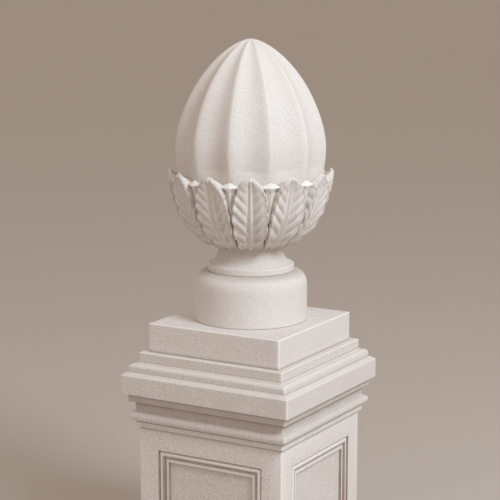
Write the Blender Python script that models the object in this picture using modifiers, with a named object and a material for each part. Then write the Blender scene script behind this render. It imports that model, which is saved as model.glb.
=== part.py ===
"""Post finial: a fluted bud in a calyx of carved leaves, turned with its foot, standing on a square
plinth block, a moulded cap and the panelled head of its post.

Metres, +Z up. The origin is the centre of the post's flat underside. Panels face along X and Y, and a
large leaf of the calyx points along each of them.
"""

import math

import bmesh
import bpy
from mathutils import Matrix, Vector

# Post head: a square die with one sunk panel on each side
POST_WIDTH = 0.300
POST_HEIGHT = 0.300
STILE_WIDTH = 0.041
PANEL_QUIRK_DEPTH = 0.0024
PANEL_QUIRK_WIDTH = 0.0008
PANEL_BEAD_WIDTH = 0.0110
PANEL_BEAD_RISE = 0.0012
PANEL_GROOVE_WIDTH = 0.0035
PANEL_GROOVE_DEPTH = 0.0014
PANEL_LIP_WIDTH = 0.0045
PANEL_DEPTH = 0.0060

# Cap: bed mouldings, slab and two steps, each measured out from the post's face or in from the slab
BED_FILLET_OUT = 0.0055
BED_FILLET_HEIGHT = 0.0085
QUIRK_IN = 0.0020
QUIRK_HEIGHT = 0.0030
TORUS_RADIUS = 0.0090
FRIEZE_HEIGHT = 0.0185
TOP_FILLET_OUT = 0.0095
TOP_FILLET_HEIGHT = 0.0150
SLAB_OUT = 0.0245
SLAB_HEIGHT = 0.0355
SLAB_ARRIS = 0.0025
SPLAY_IN = 0.0105
SPLAY_RISE = 0.0070
LOWER_STEP_HEIGHT = 0.0082
OGEE_IN = 0.0140
OGEE_RISE = 0.0093
OGEE_SWELL_SHARE = 0.16
UPPER_STEP_HEIGHT = 0.0160

# Plinth block, set in from the cap's upper step
PLINTH_IN = 0.0135
PLINTH_HEIGHT = 0.0532
PLINTH_ARRIS = 0.0020

# Finial's foot: drum, shoulder, rim and neck
DRUM_RADIUS = 0.1042
DRUM_HEIGHT = 0.0620
SHOULDER_RISE = 0.0295
SHOULDER_FULLNESS = 2.3
RIM_RADIUS = 0.0798
RIM_HEIGHT = 0.0130
RIM_ARRIS = 0.0026
NECK_RADIUS = 0.0595
SCOTIA_HEIGHT = 0.0310
COLLAR_HEIGHT = 0.0105

# Calyx: the cup that the leaves grow on, a ring of large leaves and a ring of bracts between them.
# Values named SHARE are shares of a leaf's own length or half width.
CUP_RADIUS = 0.1300
CUP_DEPTH = 0.1225
LEAF_COUNT = 12
LEAF_GAP_ANGLE = math.radians(2.2)
LEAF_STAND_OFF = 0.0065
LEAF_ROOT = 0.0060
LEAF_FLARE = 0.0140
LEAF_TIP_RISE = 0.0265
LEAF_FOOT_ANGLE = math.radians(1.7)
LEAF_BEND_SHARE = 0.84
LEAF_FOOT_SHARE = 0.10
LEAF_FOOT_WIDTH_SHARE = 0.18
LEAF_WIDEST_SHARE = 0.56
LEAF_TIP_THINNING_SHARE = 0.61
TIP_THINNING_POWER = 8
LEAF_CLOSING_SHARE = 1.005
LEAF_PLAIN_TIP_SHARE = 0.17
LEAF_COLUMN_POWER = 1.8
LEAF_LOBES = 7
LEAF_LOBE_HEIGHT = 0.0016
LEAF_LOBE_RUN_SHARE = 0.62
LEAF_SCALLOP_SHARE = 0.035
LEAF_CHEEK_HEIGHT = 0.0042
LEAF_CHEEK_SHARE = 0.8
LEAF_RIB_HEIGHT = 0.0050
LEAF_RIB_SHARE = 0.15
VEIN_SLANT_SHARE = 0.62
BRACT_PITCH_SHARE = 0.25
BRACT_FOOT_SHARE = 0.55
BRACT_FOOT_WIDTH_SHARE = 0.4
BRACT_STAND_OFF = 0.0050
BRACT_ROOT = 0.0070
BRACT_FLARE = 0.0060
BRACT_SIDE_THINNING_SHARE = 0.4
BRACT_TIP_RISE = 0.0100
BRACT_PEAK_RISE = 0.0110
BRACT_KEEL_HEIGHT = 0.0035

# Bud: a fluted egg whose widest ring stands above the cup's edge
BUD_RADIUS = 0.1404
BUD_RISE = 0.1924
BUD_WAIST_ABOVE_CUP = 0.0668
BUD_HEIGHT_POWER = 1.69
BUD_RADIUS_POWER = 1.57
FLUTE_DEPTH = 0.0095

# Clear gap between pieces that rest on each other
JOINT = 0.0003

# Fineness of the turned shapes
TURNED_STEPS = 48
BUD_RINGS = 9

POST_HALF = POST_WIDTH / 2
BED_HALF = POST_HALF + BED_FILLET_OUT
SLAB_HALF = POST_HALF + SLAB_OUT
LOWER_STEP_HALF = SLAB_HALF - SPLAY_IN
UPPER_STEP_HALF = LOWER_STEP_HALF - OGEE_IN
PLINTH_HALF = UPPER_STEP_HALF - PLINTH_IN
LEAF_PITCH = math.tau / LEAF_COUNT

STONE_COLOUR = (0.74, 0.69, 0.66, 1.0)
STONE_ROUGHNESS = 0.85


def clear_scene():
    for thing in list(bpy.data.objects):
        bpy.data.objects.remove(thing, do_unlink=True)


def new_collection(name):
    collection = bpy.data.collections.new(name)
    bpy.context.scene.collection.children.link(collection)
    return collection


def stone(name):
    """Pale cast stone, matt all over."""
    material = bpy.data.materials.new(name)
    material.use_nodes = True
    shader = material.node_tree.nodes["Principled BSDF"]
    shader.inputs["Base Color"].default_value = STONE_COLOUR
    shader.inputs["Roughness"].default_value = STONE_ROUGHNESS
    shader.inputs["Metallic"].default_value = 0.0
    return material


def new_object(name, mesh, collection, material=None):
    thing = bpy.data.objects.new(name, mesh)
    collection.objects.link(thing)
    if material is not None:
        mesh.materials.append(material)
    return thing


def hide_guide(guide):
    guide.hide_render = True
    guide.display_type = "WIRE"


def evaluated_copy(thing):
    """The mesh that the object's modifiers make."""
    bpy.context.view_layer.update()
    graph = bpy.context.evaluated_depsgraph_get()
    return bpy.data.meshes.new_from_object(thing.evaluated_get(graph))


def arc(centre, across, upward, start, end, points):
    """Points on an ellipse about centre, from one angle to another in degrees, both ends included."""
    angles = [math.radians(start + (end - start) * i / (points - 1)) for i in range(points)]
    return [(centre[0] + across * math.cos(a), centre[1] + upward * math.sin(a)) for a in angles]


def full_arc(centre, across, upward, fullness, points):
    """Points on a quarter ellipse from its top to its side, swelled out where fullness is above 2."""
    angles = [math.pi / 2 * (1 - i / (points - 1)) for i in range(points)]
    power = 2 / fullness
    ends = [(max(0.0, math.cos(a)) ** power, math.sin(a) ** power) for a in angles]
    return [(centre[0] + across * c, centre[1] + upward * s) for c, s in ends]


def outline_mesh(name, outline, square):
    """An outline as a chain of edges. A square shape's outline stands on the corner's diagonal."""
    side = 1.0 if square else 0.0
    mesh = bpy.data.meshes.new(name)
    edges = [(i, i + 1) for i in range(len(outline) - 1)]
    mesh.from_pydata([(r, r * side, z) for r, z in outline], edges, [])
    return mesh


def screw(thing, steps, smooth):
    """Turns the outline round the Z axis. Four steps make mitred square mouldings."""
    turn = thing.modifiers.new("Turn", "SCREW")
    turn.use_smooth_shade = smooth
    turn.angle = math.tau
    turn.steps = steps
    turn.render_steps = steps
    turn.use_merge_vertices = True
    turn.merge_threshold = 0.00001
    return turn


def post_head(collection):
    """The die: a cube whose four sides are inset into moulded, sunk panels."""
    mesh = bpy.data.meshes.new("post")
    form = bmesh.new()
    bmesh.ops.create_cube(form, size=1.0)
    bmesh.ops.scale(form, vec=(POST_WIDTH, POST_WIDTH, POST_HEIGHT), verts=form.verts)
    bmesh.ops.translate(form, vec=(0, 0, POST_HEIGHT / 2), verts=form.verts)
    for face in [f for f in form.faces if abs(f.normal.z) < 0.5]:
        for width, sink in panel_steps():
            bmesh.ops.inset_region(form, faces=[face], thickness=width, depth=-sink, use_even_offset=True)
    form.to_mesh(mesh)
    form.free()
    return new_object("post", mesh, collection, stone("post stone"))


def panel_steps():
    """(width, sink) of each inset of a panel, from the face to the sunk field."""
    steps = [(STILE_WIDTH, 0.0), (PANEL_QUIRK_WIDTH, PANEL_QUIRK_DEPTH)]
    half_bead = PANEL_BEAD_WIDTH / 2
    bead = arc((0, 0), half_bead, PANEL_BEAD_RISE, 180, 0, 5)
    steps += [(b[0] - a[0], a[1] - b[1]) for a, b in zip(bead, bead[1:])]
    steps.append((PANEL_GROOVE_WIDTH / 2, PANEL_GROOVE_DEPTH))
    steps.append((PANEL_GROOVE_WIDTH / 2, -PANEL_GROOVE_DEPTH))
    steps.append((PANEL_LIP_WIDTH, 0.0))
    steps.append((PANEL_QUIRK_WIDTH, PANEL_DEPTH - PANEL_QUIRK_DEPTH))
    return steps


def cap_outline():
    """Outline of the cap as (half width, height above its underside), from the top down."""
    heights = [BED_FILLET_HEIGHT, QUIRK_HEIGHT, 2 * TORUS_RADIUS, FRIEZE_HEIGHT, TOP_FILLET_HEIGHT]
    heights += [SLAB_HEIGHT, SPLAY_RISE, LOWER_STEP_HEIGHT, OGEE_RISE, UPPER_STEP_HEIGHT]
    levels = [sum(heights[:i]) for i in range(len(heights) + 1)]
    fillet, quirk, torus, frieze, top_fillet, slab, splay, lower, ogee, upper = levels[1:]
    top_fillet_half = BED_HALF + TOP_FILLET_OUT
    torus_centre = (BED_HALF, (quirk + torus) / 2)
    return [
        (0, upper),
        (UPPER_STEP_HALF, upper),
        (UPPER_STEP_HALF, ogee),
        *ogee_points((UPPER_STEP_HALF, ogee), (LOWER_STEP_HALF, lower)),
        (LOWER_STEP_HALF, splay),
        *arc((SLAB_HALF - SLAB_ARRIS, slab - SLAB_ARRIS), SLAB_ARRIS, SLAB_ARRIS, 70, 0, 3),
        *arc((SLAB_HALF - SLAB_ARRIS, top_fillet + SLAB_ARRIS), SLAB_ARRIS, SLAB_ARRIS, 0, -90, 4),
        (top_fillet_half, top_fillet),
        (top_fillet_half, frieze),
        (BED_HALF, frieze),
        *arc(torus_centre, TORUS_RADIUS, TORUS_RADIUS, 85, -85, 9),
        (BED_HALF - QUIRK_IN, quirk),
        (BED_HALF - QUIRK_IN, fillet),
        (BED_HALF, fillet),
        (BED_HALF, 0),
        (0, 0),
    ]


def ogee_points(top, bottom, points=5):
    """A hollow that rolls over into a round nose, between the two steps, without its top end."""
    shares = [i / (points - 1) for i in range(1, points)]
    run, drop = bottom[0] - top[0], top[1] - bottom[1]
    falls = [drop * (t + OGEE_SWELL_SHARE * math.sin(math.tau * t)) for t in shares]
    return [(top[0] + run * t, top[1] - fall) for t, fall in zip(shares, falls)]


def cap_height():
    return cap_outline()[0][1]


def moulded_cap(collection, base):
    cap = new_object("cap", outline_mesh("cap", cap_outline(), square=True), collection, stone("cap stone"))
    cap.location.z = base
    screw(cap, 4, smooth=False)
    return cap


def plinth_block(collection, base):
    mesh = bpy.data.meshes.new("plinth")
    form = bmesh.new()
    bmesh.ops.create_cube(form, size=1.0)
    bmesh.ops.scale(form, vec=(2 * PLINTH_HALF, 2 * PLINTH_HALF, PLINTH_HEIGHT), verts=form.verts)
    form.to_mesh(mesh)
    form.free()
    plinth = new_object("plinth", mesh, collection, stone("plinth stone"))
    plinth.location.z = base + PLINTH_HEIGHT / 2
    arris = plinth.modifiers.new("Arris", "BEVEL")
    arris.width = PLINTH_ARRIS
    arris.segments = 1
    return plinth


def neck_top():
    return DRUM_HEIGHT + SHOULDER_RISE + RIM_HEIGHT + SCOTIA_HEIGHT + COLLAR_HEIGHT


def cup_centre():
    """Height of the cup's edge, where its outline stands upright, above the finial's underside."""
    return neck_top() + CUP_DEPTH * math.sqrt(1 - (NECK_RADIUS / CUP_RADIUS) ** 2)


def bud_radius(height):
    """Radius of the bud's ridges at a height above its widest ring."""
    if height < 0:
        return BUD_RADIUS - (BUD_RADIUS - CUP_RADIUS) * (height / BUD_WAIST_ABOVE_CUP) ** 2
    share = min(height / BUD_RISE, 1.0)
    return BUD_RADIUS * (1 - share**BUD_HEIGHT_POWER) ** (1 / BUD_RADIUS_POWER)


def bud_outline():
    """From the tip down to the cup's edge."""
    waist = cup_centre() + BUD_WAIST_ABOVE_CUP
    rises = [BUD_RISE * math.cos(math.pi / 2 * i / BUD_RINGS) for i in range(BUD_RINGS + 1)]
    rises += [-BUD_WAIST_ABOVE_CUP * i / 2 for i in (1, 2)]
    return [(bud_radius(rise), waist + rise) for rise in rises]


def foot_outline():
    """From the neck's top down to the drum's underside."""
    shoulder_top = DRUM_HEIGHT + SHOULDER_RISE
    rim_top = shoulder_top + RIM_HEIGHT
    inner = RIM_RADIUS - RIM_ARRIS
    scotia_run = RIM_RADIUS - RIM_ARRIS / 2 - NECK_RADIUS
    scotia_centre = (NECK_RADIUS + scotia_run, rim_top + SCOTIA_HEIGHT)
    shoulder = full_arc((inner, DRUM_HEIGHT), DRUM_RADIUS - inner, SHOULDER_RISE, SHOULDER_FULLNESS, 4)
    return [
        (NECK_RADIUS, neck_top()),
        *arc(scotia_centre, -scotia_run, -SCOTIA_HEIGHT, 0, 90, 5),
        (RIM_RADIUS, rim_top - RIM_ARRIS),
        (RIM_RADIUS, shoulder_top + RIM_ARRIS / 2),
        *shoulder,
        (DRUM_RADIUS, 0),
        (0, 0),
    ]


def cup_outline():
    """From the cup's edge down to the neck, without either end."""
    neck = -math.degrees(math.acos(NECK_RADIUS / CUP_RADIUS))
    return arc((0, cup_centre()), CUP_RADIUS, CUP_DEPTH, 0, neck, 6)[1:-1]


def carve_flutes(mesh):
    """Sinks hollow flutes into the bud, with a sharp ridge between each two. They fade at the cup."""
    edge = cup_centre()
    for vertex in mesh.vertices:
        x, y, z = vertex.co
        radius = math.hypot(x, y)
        if z <= edge or radius < 0.001:
            continue
        across = (math.atan2(y, x) / LEAF_PITCH + 0.5) % 1.0 - 0.5
        hollow = 1 - (2 * across) ** 2
        fade = min((z - edge) / (BUD_WAIST_ABOVE_CUP / 2), 1.0)
        sink = FLUTE_DEPTH * hollow * fade * radius / BUD_RADIUS
        vertex.co = Vector((x, y, 0)) * (1 - sink / radius) + Vector((0, 0, z))


def calyx_path(share, stand_off, tip_rise, flare):
    """Point and outward direction, as (radius, height), at a share of a leaf's length up the cup."""
    low = LEAF_FOOT_ANGLE - math.acos(NECK_RADIUS / CUP_RADIUS)
    across, upward = CUP_RADIUS + stand_off, CUP_DEPTH + stand_off
    if share < LEAF_BEND_SHARE:
        angle = low * (1 - share / LEAF_BEND_SHARE)
        point = Vector((across * math.cos(angle), cup_centre() + upward * math.sin(angle)))
        outward = Vector((math.cos(angle) / across, math.sin(angle) / upward))
    else:
        over = (share - LEAF_BEND_SHARE) / (1 - LEAF_BEND_SHARE)
        point = Vector((across + flare * over**2, cup_centre() + tip_rise * over))
        outward = Vector((tip_rise, -2 * flare * over))
    return point, outward.normalized()


def leaf_spread(share):
    """Half the angle that a large leaf covers: a narrow foot, full sides, then a round closing tip."""
    foot = math.sqrt(min(1.0, share / LEAF_FOOT_SHARE))
    widening = LEAF_FOOT_WIDTH_SHARE + (1 - LEAF_FOOT_WIDTH_SHARE) * foot
    over = max(0.0, (share - LEAF_WIDEST_SHARE) / (LEAF_CLOSING_SHARE - LEAF_WIDEST_SHARE))
    return (LEAF_PITCH - LEAF_GAP_ANGLE) / 2 * widening * math.sqrt(1 - over**2)


def on_calyx(point, turn):
    return (point[0] * math.cos(turn), point[0] * math.sin(turn), point[1])


def leaf_block(name, columns, rows, shape):
    """A closed leaf: a carved outer face, a plain inner face and sides, placed by shape.

    shape takes (across, up, inner): across from -1 to 1, up from 0 to 1, inner true on the back.
    """
    form = bmesh.new()
    bmesh.ops.create_grid(form, x_segments=columns, y_segments=rows, size=1.0)
    made = bmesh.ops.extrude_face_region(form, geom=form.faces[:], use_keep_orig=True)
    back = {v for v in made["geom"] if isinstance(v, bmesh.types.BMVert)}
    for vertex in form.verts:
        vertex.co = shape(vertex.co.x, (vertex.co.y + 1) / 2, vertex in back)
    bmesh.ops.recalc_face_normals(form, faces=form.faces)
    mesh = bpy.data.meshes.new(name)
    form.to_mesh(mesh)
    form.free()
    return mesh


def large_leaf(across, up, inner):
    """A point of a large leaf over +X: a rib in a valley, and lobes between veins that rise outwards."""
    side = abs(across) ** LEAF_COLUMN_POWER
    share = up + VEIN_SLANT_SHARE * side * math.sqrt(up) * (1 - up)
    wave = math.cos(math.tau * up * LEAF_LOBES) * min(1.0, (1 - up) / LEAF_PLAIN_TIP_SHARE)
    point, outward = calyx_path(share, LEAF_STAND_OFF, LEAF_TIP_RISE, LEAF_FLARE)
    turn = math.copysign(side, across) * leaf_spread(share) * (1 + LEAF_SCALLOP_SHARE * wave * side**3)
    if inner:
        thinning = LEAF_TIP_THINNING_SHARE * up**TIP_THINNING_POWER
        return on_calyx(point - outward * (LEAF_STAND_OFF + LEAF_ROOT) * (1 - thinning), turn)
    rib = LEAF_RIB_HEIGHT * max(0.0, 1 - side / LEAF_RIB_SHARE)
    cheek = LEAF_CHEEK_HEIGHT * math.sin(math.pi / 2 * min(side / LEAF_CHEEK_SHARE, 1.0))
    lobe = LEAF_LOBE_HEIGHT * min(side / LEAF_LOBE_RUN_SHARE, 1.0) * wave
    return on_calyx(point + outward * (rib + cheek + lobe), turn)


def bract(across, up, inner):
    """A point of a bract over +X: a keel, hollow flanks, and a wide end that slopes to a peak."""
    share = BRACT_FOOT_SHARE + (1 - BRACT_FOOT_SHARE) * up
    point, outward = calyx_path(share, BRACT_STAND_OFF, BRACT_TIP_RISE, BRACT_FLARE)
    side = abs(across)
    widening = BRACT_FOOT_WIDTH_SHARE + (1 - BRACT_FOOT_WIDTH_SHARE) * up**2
    turn = across * BRACT_PITCH_SHARE * LEAF_PITCH * widening
    if not inner:
        return on_calyx(point + outward * BRACT_KEEL_HEIGHT * (1 - side), turn)
    thinning = BRACT_SIDE_THINNING_SHARE * side * up**TIP_THINNING_POWER
    point = point - outward * (BRACT_STAND_OFF + BRACT_ROOT) * (1 - thinning)
    if up == 1:
        point[1] += BRACT_PEAK_RISE * (1 - side)
    return on_calyx(point, turn)


def leaf_ring(name, solid, first_turn, collection):
    """LEAF_COUNT copies of one leaf round the Z axis, as one guide object."""
    ring = bmesh.new()
    for i in range(LEAF_COUNT):
        copy = solid.copy()
        copy.transform(Matrix.Rotation(first_turn + LEAF_PITCH * i, 4, "Z"))
        ring.from_mesh(copy)
    mesh = bpy.data.meshes.new(name)
    ring.to_mesh(mesh)
    ring.free()
    guide = new_object(name, mesh, collection)
    hide_guide(guide)
    return guide


def join_guide(thing, guide):
    """Fuses a guide's bodies to a piece. The leaves graze the cup, where the exact solver leaves holes."""
    union = thing.modifiers.new(guide.name, "BOOLEAN")
    union.operation = "UNION"
    union.solver = "MANIFOLD"
    union.object = guide


def finial(collection, guides, base):
    """Foot, cup and bud turned from one outline, the bud fluted, and both rings of leaves joined on."""
    outline = bud_outline() + cup_outline() + foot_outline()
    blank = new_object("turned blank", outline_mesh("turned blank", outline, square=False), guides)
    screw(blank, TURNED_STEPS, smooth=True)
    body = evaluated_copy(blank)
    bpy.data.objects.remove(blank)
    carve_flutes(body)
    body.name = "finial"
    carved = new_object("finial", body, collection, stone("finial stone"))
    carved.location.z = base
    rings = [
        leaf_ring("bracts", leaf_block("bract", 4, 2, bract), LEAF_PITCH / 2, guides),
        leaf_ring("large leaves", leaf_block("large leaf", 6, 2 * LEAF_LOBES, large_leaf), 0.0, guides),
    ]
    for ring in rings:
        ring.parent = carved
        join_guide(carved, ring)
    return carved


def main():
    clear_scene()
    parts = new_collection("post finial")
    guides = new_collection("guides")
    post_head(parts)
    cap_base = POST_HEIGHT + JOINT
    moulded_cap(parts, cap_base)
    plinth_base = cap_base + cap_height() + JOINT
    plinth_block(parts, plinth_base)
    finial(parts, guides, plinth_base + PLINTH_HEIGHT + JOINT)


main()
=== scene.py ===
"""Looks of the post finial: finely cut mouldings, carved leaves, a fluted bud and pale cast stone.

Metres, +Z up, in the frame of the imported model.
"""

import math

import bmesh
import bpy
import numpy as np
from mathutils import Matrix, Vector


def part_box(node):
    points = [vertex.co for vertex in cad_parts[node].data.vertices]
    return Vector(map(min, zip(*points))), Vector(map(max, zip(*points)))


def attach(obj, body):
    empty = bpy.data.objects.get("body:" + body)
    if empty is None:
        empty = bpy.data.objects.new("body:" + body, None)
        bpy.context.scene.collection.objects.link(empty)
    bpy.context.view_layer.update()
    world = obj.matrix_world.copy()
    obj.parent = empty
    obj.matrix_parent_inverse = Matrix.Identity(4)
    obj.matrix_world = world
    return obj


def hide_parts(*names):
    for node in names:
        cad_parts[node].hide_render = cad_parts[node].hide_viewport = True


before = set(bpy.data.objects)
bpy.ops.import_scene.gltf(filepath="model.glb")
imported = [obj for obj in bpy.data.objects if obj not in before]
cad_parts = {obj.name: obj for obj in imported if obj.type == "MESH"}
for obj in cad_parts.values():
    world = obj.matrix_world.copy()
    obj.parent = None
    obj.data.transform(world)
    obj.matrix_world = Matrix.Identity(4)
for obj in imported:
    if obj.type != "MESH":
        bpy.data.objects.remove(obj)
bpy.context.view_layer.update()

# Post head. A support is a plain strip beside a rounded arris, which keeps the shading flat.
POST_HALF = 0.150
POST_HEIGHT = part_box("post")[1][2]
STILE_WIDTH = 0.041
WALL_RUN = 0.0006
QUIRK_WIDTH = 0.0016
QUIRK_DEPTH = 0.0045
BEAD_WIDTH = 0.0090
BEAD_EDGE_DEPTH = 0.0034
BEAD_RISE = 0.0022
GROOVE_WIDTH = 0.0028
GROOVE_DEPTH = 0.0062
LIP_WIDTH = 0.0050
LIP_DEPTH = 0.0034
PANEL_DEPTH = 0.0080
PANEL_SUPPORT = 0.0060
PANEL_ARRIS = 0.0005
# Painted shade on the face of each sunk panel
PANEL_PAINTED_SHADE = 0.14
LEAST_SIDE_AREA = 0.05

# Cap, from its bed up, as levels above its underside and half widths. FLAT_HALF is where the rows of
# a top or underside end, inside its arris.
CAP_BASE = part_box("cap")[0][2]
BED_HALF = 0.1555
BED_FILLET_TOP = 0.0085
QUIRK_TOP = 0.0115
QUIRK_IN = 0.0020
TORUS_RADIUS = 0.0090
TORUS_TOP = QUIRK_TOP + 2 * TORUS_RADIUS
TORUS_SUPPORT = 0.0012
FRIEZE_TOP = TORUS_TOP + 0.0185
TOP_FILLET_TOP = FRIEZE_TOP + 0.0150
TOP_FILLET_HALF = BED_HALF + 0.0095
SLAB_TOP = TOP_FILLET_TOP + 0.0355
SLAB_HALF = 0.1745
SPLAY_TOP = SLAB_TOP + 0.0070
LOWER_STEP_HALF = 0.1640
LOWER_STEP_TOP = SPLAY_TOP + 0.0082
OGEE_TOP = LOWER_STEP_TOP + 0.0093
OGEE_SWELL_SHARE = 0.16
UPPER_STEP_HALF = 0.1500
CAP_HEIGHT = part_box("cap")[1][2] - CAP_BASE
CAP_FLAT_HALF = 0.12
# (level, painted shade) of the places that the slab shades from above, darkened with painted shade
CAP_PAINTED_SHADE = [
    (QUIRK_TOP, 0),
    (TORUS_TOP - 0.002, 0.2),
    (TORUS_TOP + 0.002, 0.45),
    (FRIEZE_TOP, 0.55),
    (TOP_FILLET_TOP, 0.1),
]

# Plinth block
PLINTH_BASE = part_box("plinth")[0][2]
PLINTH_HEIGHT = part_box("plinth")[1][2] - PLINTH_BASE
PLINTH_HALF = 0.1365
PLINTH_FLAT_HALF = 0.11
PLINTH_ARRIS = 0.0018
# (level, painted shade), as the cap's: painted shade where the block sits on the cap
PLINTH_PAINTED_SHADE = [(0, 0.9), (0.0018, 0.6), (0.0050, 0)]

# Finial's foot, as levels above the finial's underside. BURIED ends stand inside the leaf cup.
FINIAL_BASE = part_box("finial")[0][2]
DRUM_RADIUS = 0.1042
DRUM_TOP = 0.0620
SHOULDER_TOP = 0.0915
SHOULDER_FULLNESS = 2.3
RIM_RADIUS = 0.0798
RIM_TOP = 0.1045
NECK_RADIUS = 0.0595
SCOTIA_TOP = 0.1355
NECK_TOP = 0.1460
NECK_BURIED = 0.006
NECK_FLAT_WIDTH = 0.012
SCOTIA_LIP = 0.0010
RIM_TOP_ROUND = 0.0018
RIM_FOOT_ROUND = 0.0013
SHOULDER_TUCK = 0.0022
DRUM_SUPPORT = 0.012
DRUM_FLAT_WIDTH = 0.02
FOOT_ARRIS = 0.0010
# (level, painted shade): painted shade where the drum sits on the plinth, and rising up the neck under the
# leaf cup
FOOT_PAINTED_SHADE = [
    (0, 0.9),
    (0.0012, 0.6),
    (0.0025, 0),
    (RIM_TOP, 0),
    (RIM_TOP + 0.008, 0.4),
    (NECK_TOP, 0.7),
]

# Leaf cup. Values named SHARE are shares of a leaf's length or half width, and those named POWER
# bend a curve. The tip of a large leaf is free of the cup from FREE_FROM_SHARE on.
CUP_RADIUS = 0.1300
CUP_DEPTH = 0.1225
CUP_EDGE = NECK_TOP + CUP_DEPTH * math.sqrt(1 - (NECK_RADIUS / CUP_RADIUS) ** 2)
CORE_SWELL = 0.0035
CORE_BURIED = 0.004
CORE_FLAT_WIDTH = 0.01
LEAF_COUNT = 12
LEAF_PITCH = math.tau / LEAF_COUNT
LEAF_HALF_ANGLE = math.radians(14.8)
LEAF_STAND_OFF = 0.0065
LEAF_ROOT = 0.0060
LEAF_FLARE = 0.0150
LEAF_TIP_RISE = 0.0215
LEAF_FOOT_ANGLE = math.radians(1.7)
LEAF_BEND_SHARE = 0.84
LEAF_FLARE_SHARE = 0.60
LEAF_FOOT_SHARE = 0.17
LEAF_FOOT_NARROWING = 0.96
LEAF_WIDEST_SHARE = 0.42
LEAF_CLOSING_SHARE = 1.0004
LEAF_ARCH_POWER = 0.50
LEAF_TIP_THICKNESS = 0.0068
LEAF_RUN = 0.170
LEAF_FULL_HALF_WIDTH = 0.024
LEAF_LOOK_AHEAD = 0.004
LEAF_SIDE_BELLY = 0.0009
SIDE_BELLY_SHARE = 0.2
SIDE_LOOP_SHARES = (0.25, 0.6)
LEAF_COLUMNS = [*(0.89 * np.linspace(0, 1, 15) ** 1.45), 0.925, 0.955, 0.978, 0.993, 1.0]
LEAF_ROWS = [*np.linspace(0, 0.93, 86), 0.943, 0.955, 0.966, 0.975, 0.983, 0.989, 0.994, 0.998, 1.0]
LEAF_LOBES = 7
LOBE_POWER = 1.7
LOBE_MEAN = 0.75
LOBE_RAMP = 2.2
LOBE_HEIGHT = 0.0038
LOBE_SCALLOP_SHARE = 0.105
VEIN_SLANT_SHARE = 0.70
PLAIN_TIP_SHARE = 0.62
RIB_FOOT_HALF = 0.0052
RIB_TIP_HALF = 0.0024
RIB_HEIGHT = 0.0054
RIB_TIP_SHARE = 0.55
RIB_FALL_SHARE = 0.45
RIB_GROOVE = 0.0016
RIB_GROOVE_RUN = 0.0013
RIB_CLEARANCE = 0.0030
CHEEK_HEIGHT = 0.0056
CHEEK_TURN = math.pi * 0.62
CHEEK_FALL_SHARE = 0.35
EDGE_ROUND = 0.0020
EDGE_LIP = 0.0024
EDGE_LIP_RUN = 0.0013
EDGE_LIP_END_SHARE = 0.86
EDGE_LIP_FADE_SHARE = 0.2
TIP_ROUND = 0.0050
TIP_ROUND_FROM_SHARE = 0.6
TIP_ROUND_RUN_SHARE = 0.3
FREE_FROM_SHARE = 0.62
FREE_RUN_SHARE = 0.30
FREE_POWER = 1.5
BRACT_PITCH_SHARE = 0.265
BRACT_FOOT_SHARE = 0.55
BRACT_STAND_OFF = 0.0050
BRACT_ROOT = 0.0070
BRACT_FLARE = 0.0060
BRACT_TIP_RISE = 0.0070
BRACT_PEAK_RISE = 0.0085
BRACT_COLUMNS = 17
BRACT_ROWS = 25
BRACT_KEEL = 0.0072
BRACT_KEEL_POWER = 1.25
BRACT_KEEL_FOOT_SHARE = 0.5
BRACT_TIP_SWELL = 0.0012
BRACT_FOOT_WIDTH = 0.34
BRACT_TAPER = 0.14
BRACT_SPREAD = 0.52
BRACT_LEVEL_FROM_SHARE = 0.7
BRACT_LEVEL_RUN_SHARE = 0.3
BRACT_SIDE_THINNING = 0.4
BRACT_CROWN_IN = 0.0008
BRACT_PEAK_RADIUS = 0.1386
BRACT_CORNER_DIP = 0.0014

# Bud
BUD_RADIUS = 0.1404
BUD_RISE = 0.1924
BUD_DROP = 0.0668
BUD_HEIGHT_POWER = 1.69
BUD_RADIUS_POWER = 1.57
FLUTE_DEPTH = 0.0106
FLUTE_FADE_POWER = 0.6
RIDGE_SOFTNESS = 0.20
# Crest marks along the bud's ridges, for paler lines of wear and painted highlight
RIDGE_MARK_SHARE = 0.08
RIDGE_MARK = 0.35
BUD_LOW_ROWS_SHARE = 0.2
BUD_WELD = 0.00002

# Softness of the cut arrises and of the square corners
ARRIS = 0.0012
CORNER = 0.0018
CORNER_SUPPORT = 3
CORNER_ROOM_SHARE = 0.42
CORNER_POINTS = 4
SHARP_ANGLE = 40
LEAF_SHARP_ANGLE = 48
BUD_SHARP_ANGLE = 60

# Marks of wear and painted highlight on the arrises, and of painted shade in the crevices
SMOOTHING = 0.6
CREST_LIMIT = 0.7
OVERHANG_MARGIN = 0.0004

# Stone
# Paler colour of the arrises: partly wear, partly painted highlight
ARRIS_WEAR_AND_HIGHLIGHT_COLOUR = (0.93, 0.90, 0.87, 1.0)
# Colour of the painted shade in crevices, grooves, recesses and under overhangs
PAINTED_SHADE_COLOUR = (0.36, 0.27, 0.22, 1.0)
WARM_TINT = (0.97, 0.93, 0.88)
PIT_TINT = (0.5, 0.45, 0.4)
PIT_SHARE = 0.3
PIT_RANGE = (0.68, 0.76)
PATCH_SHARE = 0.55
PATCH_RANGE = (0.45, 0.75)
GRAIN_SIZE = 0.0026
GRAIN_RANGE = (0.34, 0.66)
GRAIN_LIGHTER = 0.35
GRAIN_DARKER = 0.65
STONE_SPECULAR = 0.3
STONE_ROUGHNESS = (0.80, 0.92)
RELIEF_STRENGTH = 0.4
RELIEF_HEIGHT = 0.0008

# Sockets of the node trees
NUMBER = "NodeSocketFloat"
COUNT = "NodeSocketInt"
PLACE = "NodeSocketVector"
COLOUR = "NodeSocketColor"
SOLID = "NodeSocketGeometry"
FINISH = "NodeSocketMaterial"

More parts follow.
